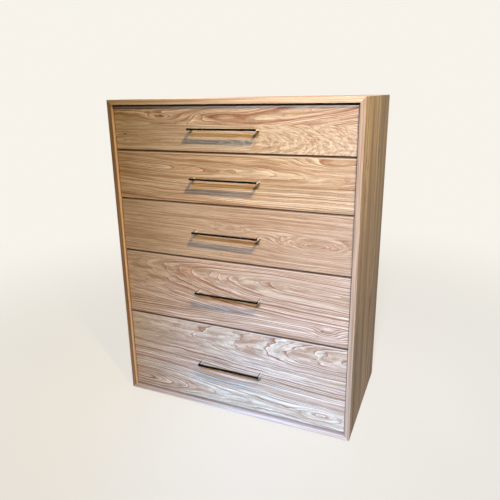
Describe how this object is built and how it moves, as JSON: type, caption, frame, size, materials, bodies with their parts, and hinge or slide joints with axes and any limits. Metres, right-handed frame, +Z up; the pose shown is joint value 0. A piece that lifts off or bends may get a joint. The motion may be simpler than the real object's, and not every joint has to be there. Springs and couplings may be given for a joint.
{
  "type": "chest of drawers",
  "caption": "Tall chest of graduated inset drawers in a mitred board case; dovetailed drawer boxes run out on telescopic slides and carry slim bar pulls.",
  "frame": {"origin": "on the floor, under the middle of the chest's overall width and depth, its pulls included", "axes": "+X to the right seen from the front, +Y to the back, +Z up"},
  "size_m": [0.965, 0.531, 1.235],
  "materials": {
    "oak_case": "oak, clear matt lacquer",
    "oak_front": "plain-sawn oak face, clear matt lacquer",
    "drawer_wood": "pale hardwood, satin lacquer",
    "plywood": "veneered plywood, satin lacquer",
    "pull_metal": "dark polished nickel plate",
    "slide_steel": "zinc plated",
    "screw_steel": "zinc plated",
    "glide_nylon": "moulded nylon"
  },
  "bodies": {
    "case": {"top_panel": "oak_case", "bottom_panel": "oak_case", "left_panel": "oak_case", "right_panel": "oak_case", "mitre_splines": "oak_case", "back_panel": "plywood", "drawer_rails": "oak_case", "floor_glides": "glide_nylon", "cabinet_slides_1": "slide_steel", "cabinet_slides_2": "slide_steel", "cabinet_slides_3": "slide_steel", "cabinet_slides_4": "slide_steel", "cabinet_slides_5": "slide_steel"},
    "drawer_1": {"drawer_front_1": "oak_front", "box_front_1": "drawer_wood", "box_sides_1": "drawer_wood", "box_back_1": "drawer_wood", "box_bottom_1": "plywood", "pull_1": "pull_metal", "pull_screws_1": "screw_steel", "drawer_slides_1": "slide_steel"},
    "middle_slides_1": {"middle_slides_1": "slide_steel"},
    "drawer_2": {"drawer_front_2": "oak_front", "box_front_2": "drawer_wood", "box_sides_2": "drawer_wood", "box_back_2": "drawer_wood", "box_bottom_2": "plywood", "pull_2": "pull_metal", "pull_screws_2": "screw_steel", "drawer_slides_2": "slide_steel"},
    "middle_slides_2": {"middle_slides_2": "slide_steel"},
    "drawer_3": {"drawer_front_3": "oak_front", "box_front_3": "drawer_wood", "box_sides_3": "drawer_wood", "box_back_3": "drawer_wood", "box_bottom_3": "plywood", "pull_3": "pull_metal", "pull_screws_3": "screw_steel", "drawer_slides_3": "slide_steel"},
    "middle_slides_3": {"middle_slides_3": "slide_steel"},
    "drawer_4": {"drawer_front_4": "oak_front", "box_front_4": "drawer_wood", "box_sides_4": "drawer_wood", "box_back_4": "drawer_wood", "box_bottom_4": "plywood", "pull_4": "pull_metal", "pull_screws_4": "screw_steel", "drawer_slides_4": "slide_steel"},
    "middle_slides_4": {"middle_slides_4": "slide_steel"},
    "drawer_5": {"drawer_front_5": "oak_front", "box_front_5": "drawer_wood", "box_sides_5": "drawer_wood", "box_back_5": "drawer_wood", "box_bottom_5": "plywood", "pull_5": "pull_metal", "pull_screws_5": "screw_steel", "drawer_slides_5": "slide_steel"},
    "middle_slides_5": {"middle_slides_5": "slide_steel"}
  },
  "joints": [
    {"name": "drawer_1_travel", "type": "slide", "parent": "case", "child": "drawer_1", "axis": [0, -1, 0], "range_m": [0, 0.45]},
    {"name": "middle_1_travel", "type": "slide", "parent": "case", "child": "middle_slides_1", "axis": [0, -1, 0], "range_m": [0, 0.225]},
    {"name": "drawer_2_travel", "type": "slide", "parent": "case", "child": "drawer_2", "axis": [0, -1, 0], "range_m": [0, 0.45]},
    {"name": "middle_2_travel", "type": "slide", "parent": "case", "child": "middle_slides_2", "axis": [0, -1, 0], "range_m": [0, 0.225]},
    {"name": "drawer_3_travel", "type": "slide", "parent": "case", "child": "drawer_3", "axis": [0, -1, 0], "range_m": [0, 0.45]},
    {"name": "middle_3_travel", "type": "slide", "parent": "case", "child": "middle_slides_3", "axis": [0, -1, 0], "range_m": [0, 0.225]},
    {"name": "drawer_4_travel", "type": "slide", "parent": "case", "child": "drawer_4", "axis": [0, -1, 0], "range_m": [0, 0.45]},
    {"name": "middle_4_travel", "type": "slide", "parent": "case", "child": "middle_slides_4", "axis": [0, -1, 0], "range_m": [0, 0.225]},
    {"name": "drawer_5_travel", "type": "slide", "parent": "case", "child": "drawer_5", "axis": [0, -1, 0], "range_m": [0, 0.45]},
    {"name": "middle_5_travel", "type": "slide", "parent": "case", "child": "middle_slides_5", "axis": [0, -1, 0], "range_m": [0, 0.225]}
  ],
  "couplings": [
    {"joint": "middle_1_travel", "follows": "drawer_1_travel", "ratio": 0.5},
    {"joint": "middle_2_travel", "follows": "drawer_2_travel", "ratio": 0.5},
    {"joint": "middle_3_travel", "follows": "drawer_3_travel", "ratio": 0.5},
    {"joint": "middle_4_travel", "follows": "drawer_4_travel", "ratio": 0.5},
    {"joint": "middle_5_travel", "follows": "drawer_5_travel", "ratio": 0.5}
  ]
}
